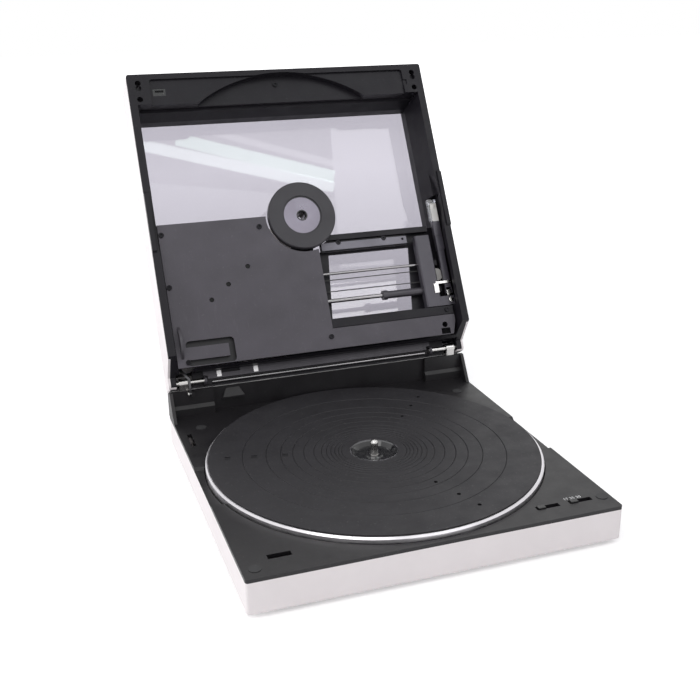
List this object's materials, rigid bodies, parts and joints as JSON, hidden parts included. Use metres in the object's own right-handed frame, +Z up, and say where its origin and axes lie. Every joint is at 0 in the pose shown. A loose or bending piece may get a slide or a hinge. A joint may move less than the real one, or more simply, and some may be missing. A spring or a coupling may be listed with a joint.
{
  "type": "turntable",
  "caption": "Compact linear-tracking turntable: sleeve-size base, direct-drive platter, and a hinged lid that carries the arm on rails and a record clamp.",
  "frame": {"origin": "bottom centre of the bounding box with the lid open, level with the underside of the feet", "axes": "+X to the right seen from the front, +Y to the back, +Z up along the spindle"},
  "size_m": [0.315, 0.4796, 0.3517],
  "materials": {
    "silver_case": "satin silver paint",
    "black_case": "finely textured black",
    "graphite_plate": "satin dark grey",
    "rubber_black": "matt",
    "cast_platter": "fine machined",
    "bright_ring": "polished",
    "gloss_black": "glossy",
    "steel": "bright steel",
    "dark_steel": "dark plated steel",
    "brass": "turned",
    "clear_pane": "clear pane",
    "grey_plastic": "satin grey",
    "light_plastic": "satin light grey",
    "clear_plastic": "clear",
    "circuit_board": "green board",
    "magnet": "sintered grey",
    "copper": "enamelled wire",
    "lamp": "clear amber lens",
    "cord": "fine cord"
  },
  "bodies": {
    "base": {"cabinet": "silver_case", "deck": "black_case", "feet": "rubber_black", "deck_pads": "rubber_black", "base_screws": "dark_steel", "motor_board": "circuit_board", "motor_coils": "copper", "spindle_bearing": "brass", "main_board": "circuit_board", "transformer": "dark_steel", "rear_terminals": "steel", "power_inlet": "gloss_black", "slide_switches": "grey_plastic", "hinge_brackets": "steel", "hinge_pins": "steel", "torsion_bar": "steel"},
    "platter": {"platter": "cast_platter", "mat": "rubber_black", "centre_ring": "bright_ring", "hub_dish": "gloss_black", "spindle": "steel", "rotor": "magnet"},
    "speed_slider": {"speed_knob": "black_case"},
    "size_slider": {"size_knob": "black_case"},
    "stay_link": {"stay_link": "steel"},
    "lid": {"lid_shell": "silver_case", "lid_frame": "black_case", "window": "clear_pane", "inner_cover": "graphite_plate", "lid_screws": "dark_steel", "sensor_lamps": "lamp", "clamp_holder": "black_case", "carriage_frame": "black_case", "guard_bar": "grey_plastic", "guide_rod": "steel", "guide_rail": "steel", "drive_cord": "cord", "arm_motor": "steel", "lid_switch": "circuit_board", "hinge_bar": "black_case", "hinge_clips": "steel", "stay_fin": "black_case", "control_board": "circuit_board"},
    "motor_pulley": {"motor_pulley": "light_plastic"},
    "idler_pulley": {"idler_pulley": "light_plastic"},
    "start_button": {"start_button": "light_plastic"},
    "stop_button": {"stop_button": "light_plastic"},
    "cue_button": {"cue_button": "light_plastic"},
    "search_rocker": {"search_rocker": "light_plastic"},
    "clamp_stem": {"clamp_stem": "steel"},
    "clamp": {"clamp_ring": "gloss_black", "clamp_disc": "steel"},
    "carriage": {"carriage": "black_case", "carriage_sleeve": "steel", "arm_terminals": "steel"},
    "arm_yoke": {"arm_yoke": "steel"},
    "arm": {"tonearm": "graphite_plate", "cartridge": "light_plastic", "stylus_guard": "clear_plastic"}
  },
  "joints": [
    {"name": "lid_hinge", "type": "hinge", "parent": "base", "child": "lid", "pos_m": [0, 0.06857, 0.0681], "axis": [1, 0, 0], "range_deg": [0, 120]},
    {"name": "stay_turn", "type": "hinge", "parent": "base", "child": "stay_link", "pos_m": [-0.1372, 0.06212, 0.0586], "axis": [1, 0, 0], "range_deg": [0, 88.1]},
    {"name": "platter_spin", "type": "hinge", "parent": "base", "child": "platter", "pos_m": [0, -0.08418, 0.035], "axis": [0, 0, 1], "continuous": true},
    {"name": "speed_slide", "type": "slide", "parent": "base", "child": "speed_slider", "axis": [1, 0, 0], "range_m": [0, 0.012]},
    {"name": "size_slide", "type": "slide", "parent": "base", "child": "size_slider", "axis": [1, 0, 0], "range_m": [0, 0.012]},
    {"name": "clamp_press", "type": "slide", "parent": "lid", "child": "clamp_stem", "axis": [0, 0.866, -0.5], "range_m": [0, 0.002], "stiffness_N_per_m": 400, "springref_m": -0.002},
    {"name": "clamp_spin", "type": "hinge", "parent": "clamp_stem", "child": "clamp", "pos_m": [0, 0.12494, 0.21194], "axis": [0, 0.866, -0.5], "continuous": true},
    {"name": "carriage_slide", "type": "slide", "parent": "lid", "child": "carriage", "axis": [-1, 0, 0], "range_m": [0, 0.092]},
    {"name": "motor_pulley_turn", "type": "hinge", "parent": "lid", "child": "motor_pulley", "pos_m": [-0.02, 0.10014, 0.14098], "axis": [0, 0.866, -0.5], "range_deg": [0, 875]},
    {"name": "idler_pulley_turn", "type": "hinge", "parent": "lid", "child": "idler_pulley", "pos_m": [0.1405, 0.10014, 0.14098], "axis": [0, 0.866, -0.5], "range_deg": [0, 875]},
    {"name": "arm_yaw", "type": "hinge", "parent": "carriage", "child": "arm_yoke", "pos_m": [0.147, 0.08049, 0.11694], "axis": [0, 0.866, -0.5], "range_deg": [-1, 1], "stiffness_Nm_per_rad": 0.03},
    {"name": "arm_lift", "type": "hinge", "parent": "arm_yoke", "child": "arm", "pos_m": [0.147, 0.08195, 0.12648], "axis": [1, 0, 0], "range_deg": [0, 1.2]},
    {"name": "start_button_press", "type": "slide", "parent": "lid", "child": "start_button", "axis": [0, -0.5, -0.866], "range_m": [0, 0.0008], "stiffness_N_per_m": 300, "springref_m": -0.0005},
    {"name": "stop_button_press", "type": "slide", "parent": "lid", "child": "stop_button", "axis": [0, -0.5, -0.866], "range_m": [0, 0.0008], "stiffness_N_per_m": 300, "springref_m": -0.0005},
    {"name": "cue_button_press", "type": "slide", "parent": "lid", "child": "cue_button", "axis": [0, -0.5, -0.866], "range_m": [0, 0.0008], "stiffness_N_per_m": 300, "springref_m": -0.0005},
    {"name": "search_rocker_tilt", "type": "hinge", "parent": "lid", "child": "search_rocker", "pos_m": [0.032, 0.21779, 0.33476], "axis": [0, 0.866, -0.5], "range_deg": [-1.5, 1.5], "stiffness_Nm_per_rad": 0.02}
  ],
  "couplings": [
    {"joint": "stay_turn", "follows": "lid_hinge", "ratio": 0.73351},
    {"joint": "motor_pulley_turn", "follows": "carriage_slide", "rad_per_m": 165.29},
    {"joint": "idler_pulley_turn", "follows": "carriage_slide", "rad_per_m": 165.29}
  ]
}
